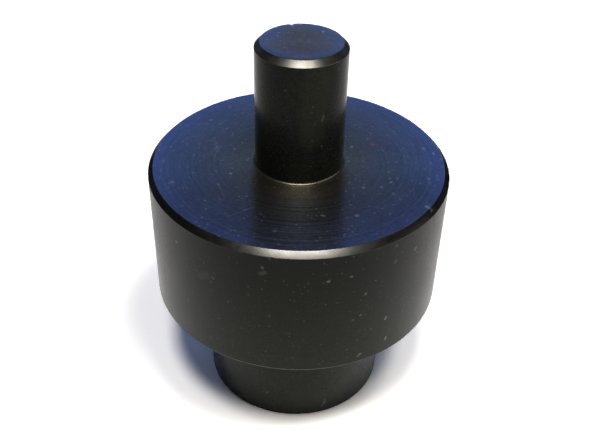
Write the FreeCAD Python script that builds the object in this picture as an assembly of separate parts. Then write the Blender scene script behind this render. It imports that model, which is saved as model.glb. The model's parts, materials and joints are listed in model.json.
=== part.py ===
# Rivet setting anvil: a heavy turned steel body with a replaceable, hardened pin.
#
# It stands on the flat end of its spigot, with the pin pointing up. On the press, the spigot drops
# into the bore of the table and the underside of the flange lies on the table. The rivet head sits
# on the end of the pin. The pin has a collar that is let into the top of the body, flush with it,
# and a shank below the collar that is a close fit in the body. A socket head screw comes up from
# the hollow end of the spigot into the tapped shank and pulls the collar down on its seat.
#
# Millimetres. The origin is the middle of the spigot's end face and +Z is up, along the axis.

import FreeCAD
import Part

import math
import os

# Flange: the wide upper part of the body
FLANGE_DIAMETER = 75.0
FLANGE_THICKNESS = 36.0

# Spigot: the narrow lower part of the body, which locates in the table
SPIGOT_DIAMETER = 48.0
SPIGOT_LENGTH = 32.0

# Pin above the flange
PIN_DIAMETER = 22.0
PIN_LENGTH = 32.0

# Edges and corners of the turned steel
TOP_CHAMFER = 1.3
EDGE_BREAK = 0.3
SPIGOT_CORNER_RADIUS = 1.2
PIN_FILLET_RADIUS = 0.5

# Collar and shank of the pin, inside the body
COLLAR_LEDGE = 4.0
COLLAR_THICKNESS = 8.0
COLLAR_CLEARANCE = 0.03
SHANK_DIAMETER = 18.0
SHANK_LENGTH = 28.0
SHANK_LEAD_IN = 1.0
RELIEF_WIDTH = 2.0
RELIEF_DEPTH = 0.4
SEAT_BEVEL = 0.6
DRAW_GAP = 2.0

# Screw that holds the pin
THREAD_DIAMETER = 10.0
THREAD_ENGAGEMENT = 16.0
TAPPED_RUN_OUT = 6.0
DRILL_POINT_ANGLE = 118.0
HEAD_DIAMETER = 16.0
HEAD_HEIGHT = 10.0
HEAD_CHAMFER = 0.8
HEAD_RECESS = 3.0
SOCKET_ACROSS_FLATS = 8.0
SOCKET_DEPTH = 5.0
SOCKET_BEVEL = 0.4
SCREW_TIP_CHAMFER = 1.0
SCREW_HOLE_CLEARANCE = 0.5
COUNTERBORE_CLEARANCE = 1.0
MOUTH_CHAMFER = 0.8

# Spring washer under the screw's head, pressed flat
WASHER_THICKNESS = 2.5
WASHER_BORE_CLEARANCE = 0.1
WASHER_EDGE_BREAK = 0.2
WASHER_SLIT = 1.2
WASHER_SLIT_SLANT = 25.0

# Heights, all worked out from the sizes above
FLANGE_BOTTOM = SPIGOT_LENGTH
FLANGE_TOP = FLANGE_BOTTOM + FLANGE_THICKNESS
PIN_TOP = FLANGE_TOP + PIN_LENGTH
COLLAR_SEAT = FLANGE_TOP - COLLAR_THICKNESS
SHANK_END = COLLAR_SEAT - SHANK_LENGTH
SHANK_BORE_FLOOR = SHANK_END - DRAW_GAP
HEAD_TOP = HEAD_RECESS
HEAD_UNDERSIDE = HEAD_TOP + HEAD_HEIGHT
WASHER_SEAT = HEAD_UNDERSIDE + WASHER_THICKNESS
SCREW_TIP = SHANK_END + THREAD_ENGAGEMENT
TAPPED_END = SCREW_TIP + TAPPED_RUN_OUT

# Radii
FLANGE_R = FLANGE_DIAMETER / 2
SPIGOT_R = SPIGOT_DIAMETER / 2
PIN_R = PIN_DIAMETER / 2
SHANK_R = SHANK_DIAMETER / 2
COLLAR_R = max(PIN_R, SHANK_R) + COLLAR_LEDGE
COLLAR_BORE_R = COLLAR_R + COLLAR_CLEARANCE
THREAD_R = THREAD_DIAMETER / 2
SCREW_HOLE_R = THREAD_R + SCREW_HOLE_CLEARANCE
HEAD_R = HEAD_DIAMETER / 2
COUNTERBORE_R = HEAD_R + COUNTERBORE_CLEARANCE
WASHER_BORE_R = THREAD_R + WASHER_BORE_CLEARANCE

AXIS_FOOT = FreeCAD.Vector(0, 0, 0)
AXIS = FreeCAD.Vector(0, 0, 1)
FULL_TURN = 360
SAME_POINT = 1e-7


def at(radius, height):
    """A point of a turned profile, on the XZ plane."""
    return FreeCAD.Vector(radius, 0, height)


def corner_arc(radius, height, fillet, side):
    """The three points of the fillet where an upright wall meets a flat that runs outwards.

    side is +1 where the wall stands above the flat, and -1 where it hangs below it.
    """
    short = fillet * (1 - math.sqrt(0.5))
    return (
        at(radius, height + side * fillet),
        at(radius + short, height + side * short),
        at(radius + fillet, height),
    )


def turned(outline):
    """A solid of revolution. The outline starts at a point, and each later step is a point or an arc."""
    edges = []
    here = outline[0]
    for step in outline[1:] + outline[:1]:
        is_arc = isinstance(step, tuple)
        start = step[0] if is_arc else step
        if not here.isEqual(start, SAME_POINT):
            edges.append(Part.LineSegment(here, start).toShape())
        here = start
        if is_arc:
            edges.append(Part.Arc(*step).toShape())
            here = step[2]
    face = Part.Face(Part.Wire(edges))
    return face.revolve(AXIS_FOOT, AXIS, FULL_TURN)


def anvil_body():
    """Flange and spigot in one piece, with the stepped bore for the pin and its screw."""
    outside = [
        at(SPIGOT_R - EDGE_BREAK, 0),
        at(SPIGOT_R, EDGE_BREAK),
        corner_arc(SPIGOT_R, FLANGE_BOTTOM, SPIGOT_CORNER_RADIUS, -1),
        at(FLANGE_R - EDGE_BREAK, FLANGE_BOTTOM),
        at(FLANGE_R, FLANGE_BOTTOM + EDGE_BREAK),
        at(FLANGE_R, FLANGE_TOP - TOP_CHAMFER),
        at(FLANGE_R - TOP_CHAMFER, FLANGE_TOP),
    ]
    pin_seat = [
        at(COLLAR_BORE_R, FLANGE_TOP),
        at(COLLAR_BORE_R, COLLAR_SEAT),
        at(SHANK_R + SEAT_BEVEL, COLLAR_SEAT),
        at(SHANK_R, COLLAR_SEAT - SEAT_BEVEL),
        at(SHANK_R, SHANK_BORE_FLOOR),
    ]
    screw_hole = [
        at(SCREW_HOLE_R, SHANK_BORE_FLOOR),
        at(SCREW_HOLE_R, WASHER_SEAT + EDGE_BREAK),
        at(SCREW_HOLE_R + EDGE_BREAK, WASHER_SEAT),
        at(COUNTERBORE_R, WASHER_SEAT),
        at(COUNTERBORE_R, MOUTH_CHAMFER),
        at(COUNTERBORE_R + MOUTH_CHAMFER, 0),
    ]
    return turned(outside + pin_seat + screw_hole)


def anvil_pin():
    """The working pin, its collar with the root fillet, and the tapped shank that the screw pulls."""
    drill_point = THREAD_R / math.tan(math.radians(DRILL_POINT_ANGLE / 2))
    above_the_body = [
        at(0, PIN_TOP),
        at(PIN_R - TOP_CHAMFER, PIN_TOP),
        at(PIN_R, PIN_TOP - TOP_CHAMFER),
        corner_arc(PIN_R, FLANGE_TOP, PIN_FILLET_RADIUS, +1),
    ]
    collar = [
        at(COLLAR_R, FLANGE_TOP),
        at(COLLAR_R, COLLAR_SEAT + EDGE_BREAK),
        at(COLLAR_R - EDGE_BREAK, COLLAR_SEAT),
    ]
    shank = [
        at(SHANK_R - RELIEF_DEPTH, COLLAR_SEAT),
        at(SHANK_R - RELIEF_DEPTH, COLLAR_SEAT - RELIEF_WIDTH + RELIEF_DEPTH),
        at(SHANK_R, COLLAR_SEAT - RELIEF_WIDTH),
        at(SHANK_R, SHANK_END + SHANK_LEAD_IN),
        at(SHANK_R - SHANK_LEAD_IN, SHANK_END),
    ]
    tapped_hole = [
        at(THREAD_R + EDGE_BREAK, SHANK_END),
        at(THREAD_R, SHANK_END + EDGE_BREAK),
        at(THREAD_R, TAPPED_END),
        at(0, TAPPED_END + drill_point),
    ]
    return turned(above_the_body + collar + shank + tapped_hole)


def hexagon_prism(across_flats, bottom, height):
    """A hexagonal bar along the axis, with two of its flats square to Y."""
    corner_r = across_flats / math.sqrt(3)
    corners = [
        FreeCAD.Vector(corner_r * math.cos(k * math.pi / 3), corner_r * math.sin(k * math.pi / 3), bottom)
        for k in range(7)
    ]
    return Part.Face(Part.makePolygon(corners)).extrude(AXIS * height)


def retaining_screw():
    """Socket head cap screw, head down. Its threaded stem is drawn at the thread's outer diameter."""
    blank = turned([
        at(0, HEAD_TOP),
        at(HEAD_R - HEAD_CHAMFER, HEAD_TOP),
        at(HEAD_R, HEAD_TOP + HEAD_CHAMFER),
        at(HEAD_R, HEAD_UNDERSIDE - EDGE_BREAK),
        at(HEAD_R - EDGE_BREAK, HEAD_UNDERSIDE),
        at(THREAD_R, HEAD_UNDERSIDE),
        at(THREAD_R, SCREW_TIP - SCREW_TIP_CHAMFER),
        at(THREAD_R - SCREW_TIP_CHAMFER, SCREW_TIP),
        at(0, SCREW_TIP),
    ])
    socket = hexagon_prism(SOCKET_ACROSS_FLATS, HEAD_TOP, SOCKET_DEPTH)
    flat_r = SOCKET_ACROSS_FLATS / 2
    socket_floor = HEAD_TOP + SOCKET_DEPTH
    drill_point = turned([
        at(0, socket_floor),
        at(flat_r, socket_floor),
        at(0, socket_floor + flat_r / math.tan(math.radians(DRILL_POINT_ANGLE / 2))),
    ])
    corner_r = SOCKET_ACROSS_FLATS / math.sqrt(3)
    mouth = turned([
        at(0, HEAD_TOP),
        at(corner_r + SOCKET_BEVEL / 2, HEAD_TOP),
        at(corner_r - SOCKET_BEVEL / 2, HEAD_TOP + SOCKET_BEVEL),
        at(0, HEAD_TOP + SOCKET_BEVEL),
    ])
    return blank.cut(socket.fuse([drill_point, mouth]).removeSplitter())


def lock_washer():
    """Spring washer between the screw's head and the floor of the counterbore, slit on a slant."""
    ring = turned([
        at(WASHER_BORE_R, HEAD_UNDERSIDE),
        at(HEAD_R - WASHER_EDGE_BREAK, HEAD_UNDERSIDE),
        at(HEAD_R, HEAD_UNDERSIDE + WASHER_EDGE_BREAK),
        at(HEAD_R, WASHER_SEAT - WASHER_EDGE_BREAK),
        at(HEAD_R - WASHER_EDGE_BREAK, WASHER_SEAT),
        at(WASHER_BORE_R, WASHER_SEAT),
    ])
    slit_height = 3 * WASHER_THICKNESS
    slit = Part.makeBox(HEAD_DIAMETER, WASHER_SLIT, slit_height)
    slit.translate(FreeCAD.Vector(0, -WASHER_SLIT / 2, -slit_height / 2))
    slit.rotate(AXIS_FOOT, FreeCAD.Vector(1, 0, 0), WASHER_SLIT_SLANT)
    slit.translate(FreeCAD.Vector(0, 0, HEAD_UNDERSIDE + WASHER_THICKNESS / 2))
    return ring.cut(slit)


PIECES = {
    "anvil_body": anvil_body,
    "anvil_pin": anvil_pin,
    "retaining_screw": retaining_screw,
    "lock_washer": lock_washer,
}


def main():
    os.makedirs("parts", exist_ok=True)
    for name, make in PIECES.items():
        shape = make()
        if not shape.isValid() or len(shape.Solids) != 1:
            raise ValueError(f"{name} is not one valid solid")
        solid = shape.Solids[0]
        solid.exportStep(f"parts/{name}.step")
        box = solid.BoundBox
        print(
            f"{name}: {box.XLength:.2f} x {box.YLength:.2f} x {box.ZLength:.2f} mm, "
            f"z {box.ZMin:.2f} to {box.ZMax:.2f}, volume {solid.Volume:.0f} mm3"
        )


main()
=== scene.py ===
# %% [markdown]
# # A rivet setting anvil, dressed for its portrait
# The anvil is a heavy turned steel tool. A press holds it by its spigot, the flange carries the load,
# and the slim pin on top backs the head of each rivet. The sizes and the fits are already settled in
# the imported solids, so this script never moves them. It only gives the anvil its surfaces: the soft
# black of an oxide bath, the blue of freshly faced steel, and the dust and scratches of a workshop.

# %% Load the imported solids
import json
import math
from collections import namedtuple

import bmesh
import bpy
from mathutils import Matrix, Vector


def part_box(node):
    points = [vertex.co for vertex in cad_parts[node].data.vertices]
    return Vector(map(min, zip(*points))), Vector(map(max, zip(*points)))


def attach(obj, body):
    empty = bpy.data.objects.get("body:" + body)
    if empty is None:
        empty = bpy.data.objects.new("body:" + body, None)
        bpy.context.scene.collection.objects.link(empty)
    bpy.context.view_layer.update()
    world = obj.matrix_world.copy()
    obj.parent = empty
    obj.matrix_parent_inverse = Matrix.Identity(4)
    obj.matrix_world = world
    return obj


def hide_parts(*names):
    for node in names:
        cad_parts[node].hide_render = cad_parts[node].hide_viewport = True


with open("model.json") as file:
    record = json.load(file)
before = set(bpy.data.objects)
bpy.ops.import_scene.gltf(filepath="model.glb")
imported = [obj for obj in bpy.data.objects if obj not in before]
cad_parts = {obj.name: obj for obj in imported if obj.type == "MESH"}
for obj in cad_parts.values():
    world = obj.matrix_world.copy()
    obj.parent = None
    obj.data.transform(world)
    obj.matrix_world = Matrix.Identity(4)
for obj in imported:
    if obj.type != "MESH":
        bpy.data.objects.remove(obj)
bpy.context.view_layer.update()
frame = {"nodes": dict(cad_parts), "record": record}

MM = 0.001
print("nodes:", sorted(frame["nodes"]))

# %% [markdown]
# ## Sizes from the frame
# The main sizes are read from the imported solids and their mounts, so the looks follow if a size is
# changed. Everything below is in millimetres, because that is how a turner thinks of this tool, and is
# turned into Blender's metres with MM.

# %% Sizes
mounts = {mount["name"]: mount for mount in frame["record"]["mounts"]}
body_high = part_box("anvil_body")[1]
pin_low, pin_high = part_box("anvil_pin")
FLANGE_R = body_high.x / MM
FLANGE_TOP = body_high.z / MM
SPIGOT_R = mounts["spigot"]["dims"]["r_mm"]
SHOULDER = mounts["table_shoulder"]["pos_m"][2] / MM
PIN_R = mounts["pin"]["dims"]["r_mm"]
PIN_TOP = pin_high.z / MM
SHANK_END = pin_low.z / MM
COUNTERBORE_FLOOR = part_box("lock_washer")[1].z / MM
print("flange", round(FLANGE_R, 2), "x", round(FLANGE_TOP - SHOULDER, 2), "spigot", SPIGOT_R, "pin", PIN_R)

# %% [markdown]
# ## The camera
# A camera in Blender looks along its own -Z axis. It is built here from the way a photographer would
# describe it: how far in front of the tool, how high, how far it looks down, and how much it is
# tilted. The picture is only 589 pixels wide, so the focal length is given in pixels and turned into
# millimetres of lens for Blender's 36 mm sensor. The camera stands close, about two hands away, and
# that gives the strong perspective which makes the flange taper towards its foot.

# %% Camera
PICTURE_WIDTH_PX = 589
FOCAL_LENGTH_PX = 842.0
CAMERA_STANDS_OFF = 177.4 * MM
CAMERA_HEIGHT = 182.5 * MM
LOOKS_DOWN = math.radians(37.006)
LOOKS_LEFT = math.radians(0.254)
LEANS_LEFT = math.radians(1.26)

camera_data = bpy.data.cameras.new("camera")
camera_data.lens = FOCAL_LENGTH_PX / PICTURE_WIDTH_PX * camera_data.sensor_width
camera_data.clip_start = 5 * MM
camera = bpy.data.objects.new("camera", camera_data)
bpy.context.scene.collection.objects.link(camera)
aim = (
    Matrix.Rotation(LOOKS_LEFT, 4, "Z")
    @ Matrix.Rotation(math.radians(90) - LOOKS_DOWN, 4, "X")
    @ Matrix.Rotation(LEANS_LEFT, 4, "Z")
)
camera.matrix_world = Matrix.Translation((0, -CAMERA_STANDS_OFF, CAMERA_HEIGHT)) @ aim
bpy.context.scene.camera = camera
bpy.context.scene.view_settings.view_transform = "Standard"
print("lens:", round(camera_data.lens, 2), "mm")

# %% [markdown]
# ## Helpers for shader nodes
# A procedural material is a small graph of nodes. Making each node by hand takes four lines, so these
# helpers make one in a single call. An input can be a plain value, which is set, or the output of
# another node, which is linked.

# %% Shader node helpers
def add(tree, kind, *inputs, **settings):
    """A new node. Its inputs are given in order: a socket is linked, a value is set, None is left."""
    node = tree.nodes.new(kind)
    for key, value in settings.items():
        setattr(node, key, value)
    for socket, value in zip(node.inputs, inputs):
        if isinstance(value, bpy.types.NodeSocket):
            tree.links.new(value, socket)
        elif value is not None:
            socket.default_value = value
    return node


def calc(tree, operation, *values, clamp=False):
    """One sum, done by a Math node."""
    return add(tree, "ShaderNodeMath", *values, operation=operation, use_clamp=clamp).outputs[0]


def ramp(tree, value, start, end, low=0.0, high=1.0):
    """A smooth step: low up to start, high from end on."""
    node = add(tree, "ShaderNodeMapRange", value, start, end, low, high, interpolation_type="SMOOTHSTEP")
    return node.outputs[0]


def mix_colour(tree, amount, first, second):
    """Goes from the first colour to the second as the amount goes from 0 to 1."""
    node = add(tree, "ShaderNodeMix", data_type="RGBA")
    for index, value in ((0, amount), (6, first), (7, second)):
        if isinstance(value, bpy.types.NodeSocket):
            tree.links.new(value, node.inputs[index])
        else:
            node.inputs[index].default_value = value
    return node.outputs[2]


def grey(level):
    return (level, level, level, 1.0)


# %% [markdown]
# ## The table
# The tool stands on white paper. It is a real surface that catches the tool's shadow, not a painted
# background, so the shadow falls right from every side. One large disc is enough: it runs out far
# beyond what the camera sees.

# %% Table
TABLE_RADIUS = 3.0

table_mesh = bmesh.new()
bmesh.ops.create_circle(table_mesh, cap_ends=True, segments=96, radius=TABLE_RADIUS)
table_data = bpy.data.meshes.new("table")
table_mesh.to_mesh(table_data)
table_mesh.free()
table = bpy.data.objects.new("table", table_data)
bpy.context.scene.collection.objects.link(table)
print("table:", 2 * TABLE_RADIUS, "m across")

# %% [markdown]
# ## The paper
# In the photo the paper is overexposed, so it shows as pure white and only its shadow has a tone. More
# light would do that too, but it would wash out the tool. A Light Path node tells instead who is
# looking: the camera and the mirror-like steel see a paper that is whiter than white, and all matt
# surfaces get the light of an ordinary sheet. Far from the tool the lamps' light fades, and there the
# paper is shown as plain white, so it stays white up to the horizon. A very fine grain shows where the
# shadow makes the paper dark enough.

# %% Paper
PAPER_WHITE = 0.93
OVEREXPOSED_WHITE = 1.30
GRAIN_WAVES_PER_M = 1400.0
PLAIN_FROM_M = 0.30
PLAIN_BEYOND_M = 0.75

paper = bpy.data.materials.new("white paper")
paper.use_nodes = True
sheet = paper.node_tree
sheet.nodes.remove(sheet.nodes["Principled BSDF"])
paper_place = add(sheet, "ShaderNodeTexCoord").outputs["Object"]
paper_grain = add(sheet, "ShaderNodeTexNoise", paper_place, None, GRAIN_WAVES_PER_M, 3.0).outputs["Fac"]
ray = add(sheet, "ShaderNodeLightPath").outputs
seen = calc(sheet, "ADD", ray["Is Camera Ray"], ray["Is Glossy Ray"])
seen = calc(sheet, "ADD", seen, ray["Is Transmission Ray"], clamp=True)
paper_white = ramp(sheet, seen, 0.0, 1.0, PAPER_WHITE, OVEREXPOSED_WHITE)
paper_tone = calc(sheet, "MULTIPLY", paper_white, ramp(sheet, paper_grain, 0.3, 0.7, 0.93, 1.07))
near_paper = add(sheet, "ShaderNodeBsdfDiffuse", paper_tone).outputs[0]
far_paper = add(sheet, "ShaderNodeEmission", grey(1.0)).outputs[0]
from_tool = add(sheet, "ShaderNodeVectorMath", paper_place, operation="LENGTH").outputs["Value"]
far = calc(sheet, "MULTIPLY", seen, ramp(sheet, from_tool, PLAIN_FROM_M, PLAIN_BEYOND_M))
paper_surface = add(sheet, "ShaderNodeMixShader", far, near_paper, far_paper).outputs[0]
sheet.links.new(paper_surface, sheet.nodes["Material Output"].inputs["Surface"])
table_data.materials.append(paper)
print("paper:", len(sheet.nodes), "nodes")

# %% [markdown]
# ## The room
# Dark steel shows little of itself and much of the room, so the room matters as much as the steel. It
# is painted with the World's shader, by direction. The three parts of a direction run from -1 to 1, and
# each ramp below is a soft edge between two of their values. The horizon is pale, the ceiling and the
# sides are dim, and the wall behind the tool is cool like daylight from a window. Seen from the camera,
# the tool's flat faces mirror that wall, and that is where much of their blue comes from. Low on the
# right is a bright window. It is there for the fillet at the pin's foot, whose pale crescent runs
# further to the right than to the left. The camera itself sees a plain white room.

# %% Room light
HORIZON_LIGHT = (0.30, 0.30, 0.30, 1.0)
SIDE_LIGHT = (0.040, 0.037, 0.055, 1.0)
BACK_LIGHT = (0.43, 0.70, 1.34, 1.0)
CEILING_LIGHT = (0.115, 0.075, 0.04, 1.0)
WINDOW_LIGHT = (3.2, 3.1, 2.7, 1.0)

world = bpy.data.worlds.new("room with a cool back wall")
bpy.context.scene.world = world
world.use_nodes = True
room = world.node_tree
direction = add(room, "ShaderNodeTexCoord").outputs["Generated"]
to_right, to_back, upwards = add(room, "ShaderNodeSeparateXYZ", direction).outputs
above_horizon = ramp(room, upwards, 0.02, 0.15)
towards_back = ramp(room, to_back, 0.40, 0.80)
below_ceiling = ramp(room, upwards, 0.46, 0.63, 1.0, 0.0)
back_wall = mix_colour(room, below_ceiling, CEILING_LIGHT, BACK_LIGHT)
upper_light = mix_colour(room, towards_back, SIDE_LIGHT, back_wall)
room_light = mix_colour(room, above_horizon, HORIZON_LIGHT, upper_light)
on_the_right = ramp(room, to_right, 0.70, 0.85)
not_behind = ramp(room, to_back, 0.05, 0.25, 1.0, 0.0)
low_down = ramp(room, upwards, 0.25, 0.38, 1.0, 0.0)
in_window = calc(room, "MULTIPLY", calc(room, "MULTIPLY", on_the_right, not_behind), low_down)
room_light = mix_colour(room, in_window, room_light, WINDOW_LIGHT)
seen_directly = add(room, "ShaderNodeLightPath").outputs["Is Camera Ray"]
room_shown = mix_colour(room, seen_directly, room_light, grey(1.0))
room.links.new(room_shown, room.nodes["Background"].inputs["Color"])
print("room:", len(room.nodes), "nodes")

# %% [markdown]
# ## The lamps
# The shadow in the photo has two edges on its left, so two soft lamps made it: a stronger one almost
# above the camera and a weaker one to its right. Both stand at the same height. Polished steel would
# show each of them as a spot, but the photo has one broad highlight, so they are hidden from mirror
# rays. A wide panel does that part alone: it is seen only by the steel, and its width sets how far the
# highlight runs round the chamfers. Splitting a light like this, into one for shape and one for shine,
# is a common studio trick.

# %% Lamps
TOOL_MIDDLE = (0, 0, 0.05)
LAMP_DISTANCE = 1.7


def around_the_tool(side_degrees, height_degrees):
    """A place at the lamps' distance: so far round to the right of the camera, and so high."""
    side, height = math.radians(side_degrees), math.radians(height_degrees)
    level = LAMP_DISTANCE * math.cos(height)
    return (level * math.sin(side), -level * math.cos(side), LAMP_DISTANCE * math.sin(height))


def soft_lamp(name, width, height, power, place, colour):
    """A rectangular soft light that faces the tool."""
    data = bpy.data.lights.new(name, "AREA")
    data.shape = "RECTANGLE"
    data.size = width
    data.size_y = height
    data.energy = power
    data.color = colour
    lamp = bpy.data.objects.new(name, data)
    lamp.location = place
    lamp.rotation_euler = (Vector(TOOL_MIDDLE) - Vector(place)).to_track_quat("-Z", "Y").to_euler()
    lamp.visible_camera = False
    bpy.context.scene.collection.objects.link(lamp)
    return lamp


main_lamp = soft_lamp("main softbox", 0.27, 0.25, 16.7, around_the_tool(-5, 69), (1, 0.965, 0.905))
main_lamp.visible_glossy = False
right_lamp = soft_lamp("right softbox", 0.34, 0.26, 13.5, around_the_tool(40, 69), (1, 0.95, 0.86))
right_lamp.visible_glossy = False
panel = soft_lamp("panel for the shine", 1.04, 0.54, 55.0, around_the_tool(4.5, 59.5), (1, 0.96, 0.88))
panel.visible_diffuse = False
print("lamps:", [lamp.name for lamp in (main_lamp, right_lamp, panel)])

# %% [markdown]
# ## The outline of a turned piece
# Both big pieces come off a lathe, so they are made the same way: an outline in the plane of the axis,
# carried round in fine steps. Blender's Spin tool or its Screw modifier would do this too. Doing it in
# mesh code has one gain: each stretch of the outline names its own finish, as a turner would face one
# surface and leave another. A corner can be eased, which turns it into a small arc. Real edges are
# never perfectly sharp, and that small arc is what catches a line of light.

# %% Outline of a turned piece
LONGEST_BAND = 1.5
LARGEST_ARC_STEP = math.radians(12)

Turn = namedtuple("Turn", "radius height finish ease arc_finish", defaults=(0.0, None))


def eased_corner(before, turn, after):
    """The points of the small arc that replaces a corner: (radius, height, finish) each."""
    corner = Vector((turn.radius, turn.height))
    arriving = (corner - before).normalized()
    leaving = (after - corner).normalized()
    bend = math.atan2(arriving.x * leaving.y - arriving.y * leaving.x, arriving.dot(leaving))
    start = corner - arriving * turn.ease * math.tan(abs(bend) / 2)
    centre = corner + (leaving - arriving).normalized() * turn.ease / math.cos(bend / 2)
    spoke = start - centre
    steps = max(2, math.ceil(abs(bend) / LARGEST_ARC_STEP))
    points = []
    for k in range(steps + 1):
        angle = bend * k / steps
        across = centre.x + spoke.x * math.cos(angle) - spoke.y * math.sin(angle)
        up = centre.y + spoke.x * math.sin(angle) + spoke.y * math.cos(angle)
        points.append((across, up, turn.finish if k == steps else turn.arc_finish or turn.finish))
    return points


def trace(outline, closed):
    """The whole outline as (radius, height, finish), with eased corners and no long bands."""
    corners = []
    count = len(outline)
    for index, turn in enumerate(outline):
        if turn.ease == 0:
            corners.append((turn.radius, turn.height, turn.finish))
            continue
        before, after = outline[index - 1], outline[(index + 1) % count]
        corners += eased_corner(Vector(before[:2]), turn, Vector(after[:2]))
    points = []
    partners = corners[1:] + (corners[:1] if closed else [])
    for (radius, height, finish), there in zip(corners, partners):
        length = math.hypot(there[0] - radius, there[1] - height)
        pieces = max(1, math.ceil(length / LONGEST_BAND))
        for k in range(pieces):
            share = k / pieces
            across = radius + (there[0] - radius) * share
            up = height + (there[1] - height) * share
            points.append((across, up, finish))
    return points if closed else points + corners[-1:]


# %% [markdown]
# ## The lathe
# The points of the outline become rings of vertices, and faces join each ring to the next. On the axis
# a ring is a single vertex. A body with a bore right through it has no end on the axis, so its outline
# closes on itself. Edges that bend sharply are marked sharp, and a Weighted Normal modifier keeps the
# flat faces looking flat right up to their eased corners.

# %% Lathe
STEPS_ROUND = 480
SHARP_FROM = math.radians(25)


def lathe(name, outline, finishes, closed=False):
    """A turned piece. Each point of the outline names the finish up to the next point."""
    points = trace(outline, closed)
    shape = bmesh.new()
    turns = [2 * math.pi * k / STEPS_ROUND for k in range(STEPS_ROUND)]
    circle = [(math.cos(turn), math.sin(turn)) for turn in turns]
    rings = []
    for radius, height, _ in points:
        places = circle if radius else [(0, 0)]
        spots = [(radius * x * MM, radius * y * MM, height * MM) for x, y in places]
        rings.append([shape.verts.new(spot) for spot in spots])
    names = list(finishes)
    follow = rings[1:] + (rings[:1] if closed else [])
    for ring, after, point in zip(rings, follow, points):
        for k in range(STEPS_ROUND):
            j = (k + 1) % STEPS_ROUND
            corners = [ring[0]] if len(ring) == 1 else [ring[k], ring[j]]
            corners += [after[0]] if len(after) == 1 else [after[j], after[k]]
            face = shape.faces.new(corners)
            face.smooth = True
            face.material_index = names.index(point[2])
    shape.normal_update()
    for edge in shape.edges:
        if edge.is_manifold and edge.calc_face_angle(0) > SHARP_FROM:
            edge.smooth = False
    data = bpy.data.meshes.new(name)
    shape.to_mesh(data)
    shape.free()
    for finish in names:
        data.materials.append(finishes[finish])
    piece = bpy.data.objects.new(name, data)
    bpy.context.scene.collection.objects.link(piece)
    shading = piece.modifiers.new("flat faces stay flat", "WEIGHTED_NORMAL")
    shading.keep_sharp = True
    return piece


# %% [markdown]
# ## Places and nicks
# A place on a turned tool is easiest to name by its radius, its angle and its height. The nicks on the
# rims are the marks of knocks on the bench. They are real dents: the few vertices near each place are
# pushed in and down, so the outline changes too.

# %% Places and nicks
def round_place(radius, degrees, height):
    """A place on the turned shape. The angle starts at the side that faces the camera."""
    angle = math.radians(degrees)
    return (radius * math.sin(angle), -radius * math.cos(angle), height)


def nick(piece, place, reach, depth):
    """Pushes the rim in and down around a place, as a knock would."""
    centre = Vector(place) * MM
    push = (Vector((-centre.x, -centre.y, 0)).normalized() - Vector((0, 0, 1))).normalized()
    moved = 0
    for vertex in piece.data.vertices:
        nearness = 1 - (vertex.co - centre).length / (reach * MM)
        if nearness > 0:
            vertex.co += push * depth * MM * min(1.0, 2 * nearness)
            moved += 1
    print("nick on", piece.name, "moved", moved, "vertices")


# %% [markdown]
# ## Where a point of the surface is
# All finishes here are worked out from the place on the tool, in millimetres, with no pictures and no
# unwrapping. The height and the distance from the axis are the natural coordinates of a turned piece:
# tool marks depend on them alone.

# %% Place on the tool
def place_mm(tree):
    """The place on the tool in millimetres: the vector, its height, and its distance from the axis."""
    metres = add(tree, "ShaderNodeTexCoord").outputs["Object"]
    vector = add(tree, "ShaderNodeVectorMath", metres, None, None, 1 / MM, operation="SCALE").outputs[0]
    parts = add(tree, "ShaderNodeSeparateXYZ", vector).outputs
    flat = add(tree, "ShaderNodeCombineXYZ", parts[0], parts[1], 0.0).outputs[0]
    radius = add(tree, "ShaderNodeVectorMath", flat, operation="LENGTH").outputs["Value"]
    return vector, parts[2], radius


def noise(tree, vector, waves, detail=2.0, roughness=0.5):
    """Soft noise around 0.5, with so many waves per millimetre."""
    return add(tree, "ShaderNodeTexNoise", vector, None, waves, detail, roughness).outputs["Fac"]


def turned_rings(tree, distance, waves, detail=3.0):
    """Noise that changes with one distance only: the marks that a turning tool leaves."""
    node = add(tree, "ShaderNodeTexNoise", None, distance, waves, detail, noise_dimensions="1D")
    return node.outputs["Fac"]


# %% [markdown]
# ## Dust
# The photo shows pale specks all over the dark steel. A Voronoi texture gives each small cell of space
# its own random colour. Its first channel sets the speck's size, its second whether there is one at
# all, and its third how strong it is. A little noise shakes the cells, so that no speck is a neat dot.

# %% Dust
def dust(tree, vector, spacing, largest, share):
    """Specks, from 0 to 1: ragged, mostly small, some bright and some faint."""
    ragged = add(tree, "ShaderNodeTexNoise", vector, None, 3.0, 1.0).outputs["Color"]
    shaken = add(tree, "ShaderNodeVectorMath", ragged, None, None, 0.5, operation="SCALE").outputs[0]
    shaken = add(tree, "ShaderNodeVectorMath", vector, shaken, operation="ADD").outputs[0]
    cells = add(tree, "ShaderNodeTexVoronoi", shaken, None, 1 / spacing)
    chance = add(tree, "ShaderNodeSeparateXYZ", cells.outputs["Color"]).outputs
    size = calc(tree, "MULTIPLY", calc(tree, "POWER", chance[0], 1.6), largest / spacing)
    inside = calc(tree, "SUBTRACT", 1.0, calc(tree, "DIVIDE", cells.outputs["Distance"], size), clamp=True)
    inside = calc(tree, "MULTIPLY", inside, 2.5, clamp=True)
    kept = calc(tree, "MULTIPLY", calc(tree, "LESS_THAN", chance[1], share), chance[2])
    return calc(tree, "MULTIPLY", inside, kept)
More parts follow.
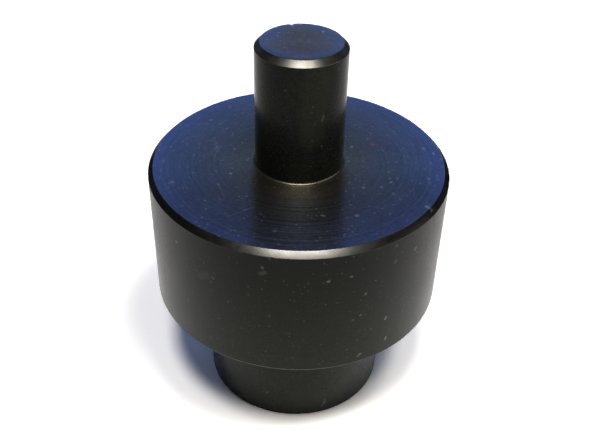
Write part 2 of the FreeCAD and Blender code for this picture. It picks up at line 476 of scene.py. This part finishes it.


# %% [markdown]
# ## Scratches, smudges and rust
# Some marks in the photo are too distinct for noise: a rust spot, a few scratches, a wiped smudge. The
# same strokes also paint one reflection on the pin. Each is the distance to a short line, turned into a
# soft stroke. Marks on a turned side are named by angle and height, and marks on a flat face by radius
# and angle. After its two ends come its width, its strength and its colour.

# %% Scratches, smudges and rust
SCRATCH = (0.42, 0.42, 0.40, 1.0)
RUST = (0.30, 0.10, 0.03, 1.0)
SMUDGE = (0.16, 0.16, 0.14, 1.0)
SOOT = (0.002, 0.002, 0.002, 1.0)


def marks_on_side(radius, marks):
    return [(round_place(radius, *start), round_place(radius, *end), *look) for start, end, *look in marks]


def marks_on_face(height, marks):
    return [(round_place(*start, height), round_place(*end, height), *look) for start, end, *look in marks]


def stroke(tree, vector, start, end, width):
    """1 along the line from start to end, fading to 0 at its width."""
    from_start = add(tree, "ShaderNodeVectorMath", vector, start, operation="SUBTRACT").outputs[0]
    course = Vector(end) - Vector(start)
    scaled = course / course.length_squared
    along = add(tree, "ShaderNodeVectorMath", from_start, scaled, operation="DOT_PRODUCT").outputs["Value"]
    along = calc(tree, "ADD", along, 0.0, clamp=True)
    nearest = add(tree, "ShaderNodeVectorMath", course, None, None, along, operation="SCALE").outputs[0]
    away = add(tree, "ShaderNodeVectorMath", from_start, nearest, operation="DISTANCE").outputs["Value"]
    return ramp(tree, away, width * 0.25, width * 0.75, 1.0, 0.0)


def put_marks(tree, vector, colour, marks):
    """Lays the marks over a colour, one after the other."""
    for start, end, width, strength, tint in marks:
        there = calc(tree, "MULTIPLY", stroke(tree, vector, start, end, width), strength)
        colour = mix_colour(tree, there, colour, tint)
    return colour


# %% [markdown]
# ## Black oxide
# Black oxide is a thin, porous, oiled skin on the steel. It behaves like a dark, dull varnish: nearly
# black when seen square on, and mirror-like when seen along the surface. That is why the sides go from
# black in the middle to pale grey at their outlines. A low index of refraction gives this with no metal
# in the shader. The skin is uneven, so three noises of different size vary its tone, and rings from
# the turning tool run round it as fine bumps. Waves are counted per millimetre.

# %% Black oxide
OXIDE_TINT = (0.84, 1.0, 0.77, 1.0)
OXIDE_SHINE = (0.93, 1.0, 0.86, 1.0)
PALE_DUST = (0.5, 0.49, 0.45, 1.0)
CLOUD_WAVES = 0.12
MOTTLE_WAVES = 0.5
GRAIN_WAVES = 2.0
TOOL_MARK_WAVES = 2.2
TOOL_MARK_DEPTH = 0.012


def steel(name, base, roughness, ior=1.45, metallic=0.0):
    """A new material with its Principled shader set to plain values."""
    material = bpy.data.materials.new(name)
    material.use_nodes = True
    shader = material.node_tree.nodes["Principled BSDF"]
    shader.inputs["Base Color"].default_value = base
    shader.inputs["Roughness"].default_value = roughness
    shader.inputs["IOR"].default_value = ior
    shader.inputs["Metallic"].default_value = metallic
    return material, material.node_tree, shader


def bump(tree, shader, height, depth_mm):
    node = add(tree, "ShaderNodeBump", 1.0, depth_mm * MM)
    tree.links.new(height, node.inputs["Height"])
    tree.links.new(node.outputs[0], shader.inputs["Normal"])


def black_oxide(name, tone, roughness, tooling, ior=1.24, dusty=0.0, darkens_between=None, haze=0.0, marks=()):
    """Turned and blackened steel. It grows darker and duller upwards between two given heights."""
    material, tree, shader = steel(name, grey(tone), roughness, ior)
    vector, z, radius = place_mm(tree)
    clouds = noise(tree, vector, CLOUD_WAVES, 4.0, 0.6)
    mottle = ramp(tree, noise(tree, vector, MOTTLE_WAVES, 3.0, 0.65), 0.3, 0.7)
    grain = ramp(tree, noise(tree, vector, GRAIN_WAVES, 2.0), 0.3, 0.7)
    tone_now = calc(tree, "MULTIPLY_ADD", clouds, tone * 0.5, tone * 0.25)
    tone_now = calc(tree, "MULTIPLY_ADD", mottle, tone * 0.2, tone_now)
    tone_now = calc(tree, "MULTIPLY_ADD", grain, tone * 0.8, tone_now)
    rough = calc(tree, "MULTIPLY_ADD", clouds, 0.10, roughness - 0.09)
    rough = calc(tree, "MULTIPLY_ADD", grain, 0.16 * tooling, rough)
    # Upwards between the two heights the tone darkens and the roughness rises, as at the flange's top.
    if darkens_between:
        low, high = darkens_between
        tone_now = calc(tree, "MULTIPLY", tone_now, ramp(tree, z, low, high, 1.0, 0.1))
        rough = calc(tree, "ADD", rough, ramp(tree, z, low, high, 0.0, 0.07))
    plain = mix_colour(tree, tone_now, grey(0.0), OXIDE_TINT)
    coarse = calc(tree, "MULTIPLY", dust(tree, vector, 2.3, 0.75, dusty * 0.7), 0.13)
    fine = calc(tree, "MULTIPLY", dust(tree, vector, 0.8, 0.38, dusty * 1.7), 0.065)
    colour = mix_colour(tree, calc(tree, "MAXIMUM", coarse, fine), plain, PALE_DUST)
    tree.links.new(put_marks(tree, vector, colour, marks), shader.inputs["Base Color"])
    tree.links.new(rough, shader.inputs["Roughness"])
    shader.inputs["Specular Tint"].default_value = OXIDE_SHINE
    shader.inputs["Sheen Weight"].default_value = haze
    shader.inputs["Sheen Roughness"].default_value = 0.35
    rings = turned_rings(tree, calc(tree, "ADD", z, radius), TOOL_MARK_WAVES)
    relief = calc(tree, "MULTIPLY", calc(tree, "MULTIPLY_ADD", grain, 0.5, rings), tooling)
    bump(tree, shader, relief, TOOL_MARK_DEPTH)
    return material


# %% [markdown]
# ## Worn edges
# On the narrow edges, hands and cloths have worn the skin thin. There the steel below works as a
# mirror, so these finishes are metallic, but dark. They carry a long highlight and stay black beside it.

# %% Worn edges
def worn_edge(name, tint, roughness):
    """Thin oxide over steel: a dark mirror whose dullness varies a little."""
    material, tree, shader = steel(name, tint, roughness, metallic=1.0)
    shader.inputs["Specular Tint"].default_value = grey(0.3)
    vector = place_mm(tree)[0]
    wear = noise(tree, vector, 0.6, 4.0, 0.6)
    tree.links.new(calc(tree, "MULTIPLY_ADD", wear, 0.2, roughness - 0.1), shader.inputs["Roughness"])
    return material


# %% [markdown]
# ## Blued faces
# The top of the flange and the end of the pin were faced in the lathe and carry a thin blue skin. The
# tool left fine circular grooves, and grooves stretch every reflection across them. That is called
# anisotropy. The shader needs a tangent for it, and a radial tangent about the Z axis follows the
# grooves. The colour goes from a warm grey near the axis to blue outside, as a list of rings. On the
# flange that blue is partly a painted reflection of the cool back wall, and oil and wear leave a few
# percent of the skin matt. That share keeps the pin's reflection in it dark grey instead of black.

# %% Blued faces
BLUE_DUST = (0.55, 0.51, 0.46, 1.0)
GROOVE_WAVES = 1.3
GROOVE_DEPTH = 0.006
QUARTER_TURN = 0.25


def blued_face(name, metal, rings, patches, grain, dusty, roughness, grooves, marks=()):
    """A faced surface, with its colours as rings: (radius, colour) each, from the axis outwards.

    metal is the share that mirrors, and dusty the share of cells with a coarse speck. patches is (mm
    that they shift the rings, waves per mm), grain is (waves per mm, contrast), and roughness has one
    (radius, value) inside and one outside. grooves says how far they stretch a reflection, up to 1.
    """
    material, tree, shader = steel(name, rings[-1][1], roughness[-1][1], metallic=metal)
    vector, _, radius = place_mm(tree)
    shift, waves = patches
    uneven_radius = calc(tree, "MULTIPLY_ADD", noise(tree, vector, waves, 3.0), 2 * shift, radius)
    uneven_radius = calc(tree, "SUBTRACT", uneven_radius, shift)
    colour = rings[0][1]
    for (near, _), (far, tint) in zip(rings, rings[1:]):
        colour = mix_colour(tree, ramp(tree, uneven_radius, near, far), colour, tint)
    tracks = turned_rings(tree, radius, GROOVE_WAVES)
    grain_waves, grain_depth = grain
    specks = noise(tree, vector, grain_waves, 3.0, 0.7)
    clouds = noise(tree, vector, 0.09, 3.0)
    shade = calc(tree, "MULTIPLY_ADD", tracks, 0.35, 0.55 - grain_depth / 2)
    shade = calc(tree, "MULTIPLY_ADD", specks, grain_depth, shade)
    shade = calc(tree, "MULTIPLY_ADD", clouds, 0.35, shade)
    toned = add(tree, "ShaderNodeVectorMath", colour, None, None, shade, operation="SCALE").outputs[0]
    coarse = calc(tree, "MULTIPLY", dust(tree, vector, 2.3, 0.7, dusty), 0.5)
    fine = calc(tree, "MULTIPLY", dust(tree, vector, 0.9, 0.42, dusty * 2), 0.3)
    speckled = mix_colour(tree, calc(tree, "MAXIMUM", coarse, fine), toned, BLUE_DUST)
    tree.links.new(put_marks(tree, vector, speckled, marks), shader.inputs["Base Color"])
    (inner_edge, inner_rough), (outer_edge, outer_rough) = roughness
    rough = ramp(tree, radius, inner_edge, outer_edge, inner_rough, outer_rough)
    rough = calc(tree, "ADD", rough, calc(tree, "MULTIPLY_ADD", tracks, 0.12, -0.06))
    tree.links.new(rough, shader.inputs["Roughness"])
    shader.inputs["Anisotropic"].default_value = grooves
    shader.inputs["Anisotropic Rotation"].default_value = QUARTER_TURN
    tangent = add(tree, "ShaderNodeTangent", direction_type="RADIAL", axis="Z")
    tree.links.new(tangent.outputs[0], shader.inputs["Tangent"])
    bump(tree, shader, calc(tree, "MULTIPLY_ADD", specks, 0.6, tracks), GROOVE_DEPTH)
    return material


# %% [markdown]
# ## Finishes of the body
# The flange's side, the spigot, the chamfers, the filed lower edge and the faced top all look
# different in the photo, so each has its own material. The marks are the ones that the photo shows.

# %% Finishes of the body
SIDE_MARKS = [
    ((-12.0, 61.7), (-10.6, 62.2), 1.0, 0.14, SMUDGE),
    ((8.4, 60.2), (9.6, 60.2), 0.6, 0.8, SOOT),
    ((10.8, 60.0), (11.2, 60.0), 0.6, 0.16, SCRATCH),
    ((34.9, 43.3), (35.3, 44.0), 0.5, 0.25, SCRATCH),
    ((36.0, 36.2), (36.3, 36.9), 0.5, 0.25, SCRATCH),
    ((24.8, 34.6), (25.2, 34.7), 0.6, 0.18, SCRATCH),
    ((-36.0, 55.0), (-33.0, 56.4), 1.8, 0.07, SMUDGE),
    ((19.0, 60.4), (19.3, 60.4), 0.6, 0.12, SCRATCH),
    ((25.0, 54.0), (25.3, 54.2), 0.6, 0.12, SCRATCH),
    ((-48.2, 60.8), (-47.8, 60.8), 0.6, 0.12, SCRATCH),
]
SPIGOT_MARKS = [
    ((19.5, 2.4), (21.5, 4.4), 0.6, 0.10, SCRATCH),
    ((21.0, 3.6), (22.6, 3.0), 0.5, 0.06, SCRATCH),
]
TOP_MARKS = [
    ((20.5, 112.3), (20.5, 113.7), 1.0, 0.9, RUST),
    ((17.2, 80), (17.2, 82), 0.8, 0.5, RUST),
    ((27.5, 141), (27.5, 147), 3.0, 0.30, (0.12, 0.07, 0.05, 1)),
    ((23.7, 13.4), (24.1, 14.6), 0.6, 0.7, SCRATCH),
    ((22.3, -61), (24.0, -46), 0.28, 0.16, SCRATCH),
    ((29.1, -33), (22.7, -26), 0.28, 0.14, SCRATCH),
    ((35.0, 58.0), (36.8, 57.5), 0.6, 0.9, SCRATCH),
    ((20.6, -98), (23.6, -111), 0.7, 0.10, SCRATCH),
    ((21.5, -104), (22.0, -100), 0.4, 0.20, SCRATCH),
]
# The blue of these rings is partly a painted reflection of the cool back wall, which the face also
# mirrors.
TOP_RINGS_AND_REFLECTION = [
    (13, (0.101, 0.091, 0.066, 1)), (22, (0.086, 0.089, 0.101, 1)),
    (30, (0.084, 0.100, 0.150, 1)), (36, (0.090, 0.116, 0.222, 1)),
]
body_finishes = {
    "side": black_oxide(
        "black oxide, turned side", 0.0074, 0.32, 0.5, ior=1.205, dusty=0.3,
        darkens_between=(SHOULDER, FLANGE_TOP), haze=0.07, marks=marks_on_side(FLANGE_R, SIDE_MARKS),
    ),
    "spigot": black_oxide(
        "black oxide, fine turned spigot", 0.0072, 0.30, 0.5, ior=1.21, dusty=0.25,
        marks=marks_on_side(SPIGOT_R, SPIGOT_MARKS),
    ),
    "top": blued_face(
        "blue face of the flange, partly painted reflection", 0.94, TOP_RINGS_AND_REFLECTION, (3.0, 0.08), (1.3, 1.0), 0.3,
        ((12, 0.35), (24, 0.27)), 0.76, marks_on_face(FLANGE_TOP, TOP_MARKS),
    ),
    "chamfer": worn_edge("worn chamfer", (0.048, 0.0475, 0.0455, 1), 0.30),
    "filed": worn_edge("filed lower edge", grey(0.10), 0.40),
    "bore": black_oxide("oiled bore", 0.02, 0.38, 0.4),
}
print("body finishes:", list(body_finishes))

# %% [markdown]
# ## The body
# The body is one turned piece. Its outline runs up the spigot, under and round the flange, over the
# top to the pin's recess, down the stepped bore, and out through the mouth in the spigot's end. The
# flange's lower edge is only broken with a file, so it is a small round and not a chamfer.

# %% Body
TOP_CHAMFER = 1.3
EDGE_BREAK = 0.3
TOUCH_OFF = 0.12
SPIGOT_CORNER_R = 1.2
FILED_R = 0.5
COLLAR_R = 15.0
COLLAR_THICKNESS = 8.0
COLLAR_SEAT = FLANGE_TOP - COLLAR_THICKNESS
COLLAR_CLEARANCE = 0.03
SHANK_R = 9.0
DRAW_GAP = 2.0
SHANK_FLOOR = SHANK_END - DRAW_GAP
SEAT_BEVEL = 0.6
SCREW_HOLE_R = 5.5
COUNTERBORE_R = 9.0
MOUTH_CHAMFER = 0.8

body_outline = [
    Turn(SPIGOT_R - EDGE_BREAK, 0, "chamfer"),
    Turn(SPIGOT_R, EDGE_BREAK, "spigot"),
    Turn(SPIGOT_R, SHOULDER, "side", SPIGOT_CORNER_R),
    Turn(FLANGE_R, SHOULDER, "side", FILED_R, "filed"),
    Turn(FLANGE_R, FLANGE_TOP - TOP_CHAMFER, "chamfer", TOUCH_OFF),
    Turn(FLANGE_R - TOP_CHAMFER, FLANGE_TOP, "top", TOUCH_OFF),
    Turn(COLLAR_R + COLLAR_CLEARANCE, FLANGE_TOP, "bore"),
    Turn(COLLAR_R + COLLAR_CLEARANCE, COLLAR_SEAT, "bore"),
    Turn(SHANK_R + SEAT_BEVEL, COLLAR_SEAT, "bore"),
    Turn(SHANK_R, COLLAR_SEAT - SEAT_BEVEL, "bore"),
    Turn(SHANK_R, SHANK_FLOOR, "bore"),
    Turn(SCREW_HOLE_R, SHANK_FLOOR, "bore"),
    Turn(SCREW_HOLE_R, COUNTERBORE_FLOOR + EDGE_BREAK, "bore"),
    Turn(SCREW_HOLE_R + EDGE_BREAK, COUNTERBORE_FLOOR, "bore"),
    Turn(COUNTERBORE_R, COUNTERBORE_FLOOR, "bore"),
    Turn(COUNTERBORE_R, MOUTH_CHAMFER, "chamfer", TOUCH_OFF),
    Turn(COUNTERBORE_R + MOUTH_CHAMFER, 0, "spigot", TOUCH_OFF),
]
body = lathe("turned_body", body_outline, body_finishes, closed=True)
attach(body, "root")
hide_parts("anvil_body")
nick(body, round_place(FLANGE_R - 0.3, 57.4, FLANGE_TOP - 0.7), 1.0, 0.35)
print("body faces:", len(body.data.polygons))

# %% [markdown]
# ## Finishes of the pin
# The pin is ground, so it is smoother than the body, and it hardly shows dust. Its end was faced with a
# different tool: its blue ring has a brown middle, with ragged patches between the two. The fillet at
# its root is worn bright, and in the photo it shines as a thin crescent.

# %% Finishes of the pin
PIN_MARKS_AND_REFLECTION = [
    ((27.0, 85.0), (29.5, 86.2), 0.5, 0.06, SCRATCH),
    # This wide, faint, warm stroke is a painted reflection: the soft band of warm light that the ground
    # pin mirrors right of its middle.
    ((15.0, 81.0), (19.0, 97.0), 6.0, 0.014, (0.34, 0.28, 0.18, 1)),
]
END_MARKS = [
    ((7.1, 137), (7.5, 139), 0.5, 0.55, SCRATCH),
    ((6.7, -129), (7.3, -127), 0.4, 0.35, SCRATCH),
    ((6.1, -113), (6.5, -117), 0.4, 0.25, SCRATCH),
    ((10.0, 91), (10.2, 93), 0.5, 0.5, SCRATCH),
    ((0.0, 0), (0.2, 90), 0.9, 0.5, (0.08, 0.09, 0.12, 1)),
    ((7.6, -8), (7.8, 10), 1.8, 0.15, (0.18, 0.16, 0.17, 1)),
]
END_RINGS = [
    (0.5, (0.103, 0.083, 0.074, 1)), (2.0, (0.120, 0.066, 0.043, 1)),
    (5.0, (0.112, 0.070, 0.049, 1)), (8.0, (0.080, 0.075, 0.098, 1)),
]
pin_finishes = {
    "pin": black_oxide(
        "black oxide, ground pin", 0.0066, 0.27, 0.04, ior=1.15, dusty=0.12, haze=0.02,
        marks=marks_on_side(PIN_R, PIN_MARKS_AND_REFLECTION),
    ),
    "chamfer": worn_edge("worn chamfer of the pin", (0.076, 0.074, 0.069, 1), 0.36),
    "fillet": worn_edge("worn root fillet", (0.080, 0.077, 0.062, 1), 0.37),
    "end": blued_face(
        "blued end of the pin", 1.0, END_RINGS, (6.0, 0.22), (0.8, 1.0), 0.5,
        ((3, 0.36), (9, 0.30)), 0.4, marks_on_face(PIN_TOP, END_MARKS),
    ),
    "top": body_finishes["top"],
    "bore": body_finishes["bore"],
}
print("pin finishes:", list(pin_finishes))

# %% [markdown]
# ## The pin
# The pin is a second turned piece. Its collar lies flush in the body's top, so its upper face takes the
# same blue as the flange. The fillet at its root stops cracks from starting there. Below the collar the
# shank ends in a tapped hole for the screw, and its outline starts there, on the axis.

# %% Pin
PIN_FILLET_R = 0.5
RELIEF_WIDTH = 2.0
RELIEF_DEPTH = 0.4
LEAD_IN = 1.0
THREAD_R = 5.0
TAPPED_END = 54.0
DRILL_TIP = 57.0

pin_outline = [
    Turn(0, DRILL_TIP, "bore"),
    Turn(THREAD_R, TAPPED_END, "bore"),
    Turn(THREAD_R, SHANK_END + EDGE_BREAK, "bore"),
    Turn(THREAD_R + EDGE_BREAK, SHANK_END, "bore"),
    Turn(SHANK_R - LEAD_IN, SHANK_END, "bore"),
    Turn(SHANK_R, SHANK_END + LEAD_IN, "bore"),
    Turn(SHANK_R, COLLAR_SEAT - RELIEF_WIDTH, "bore"),
    Turn(SHANK_R - RELIEF_DEPTH, COLLAR_SEAT - RELIEF_WIDTH + RELIEF_DEPTH, "bore"),
    Turn(SHANK_R - RELIEF_DEPTH, COLLAR_SEAT, "bore"),
    Turn(COLLAR_R - EDGE_BREAK, COLLAR_SEAT, "bore"),
    Turn(COLLAR_R, COLLAR_SEAT + EDGE_BREAK, "bore"),
    Turn(COLLAR_R, FLANGE_TOP, "top"),
    Turn(PIN_R, FLANGE_TOP, "pin", PIN_FILLET_R, "fillet"),
    Turn(PIN_R, PIN_TOP - TOP_CHAMFER, "chamfer", TOUCH_OFF),
    Turn(PIN_R - TOP_CHAMFER, PIN_TOP, "end", TOUCH_OFF),
    Turn(0, PIN_TOP, "end"),
]
pin = lathe("hardened_pin", pin_outline, pin_finishes)
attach(pin, "root")
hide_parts("anvil_pin")
nick(pin, round_place(PIN_R - 0.9, -165, PIN_TOP), 0.8, 0.22)
print("pin faces:", len(pin.data.polygons))

# %% [markdown]
# ## The screw and its washer
# Both come from the shop's drawer, so their solids already have the right shape and stay as they are.
# They only need their finish: rolled black oxide on the screw, oiled spring steel on the washer.

# %% Screw and washer
screw_black = black_oxide("black oxide, rolled screw", 0.02, 0.32, 0.6)
spring_steel = black_oxide("oiled spring steel", 0.08, 0.35, 0.4)
for node_name, material in (("retaining_screw", screw_black), ("lock_washer", spring_steel)):
    node = frame["nodes"][node_name]
    node.data.materials.clear()
    node.data.materials.append(material)
    print(node_name, "wears", material.name)
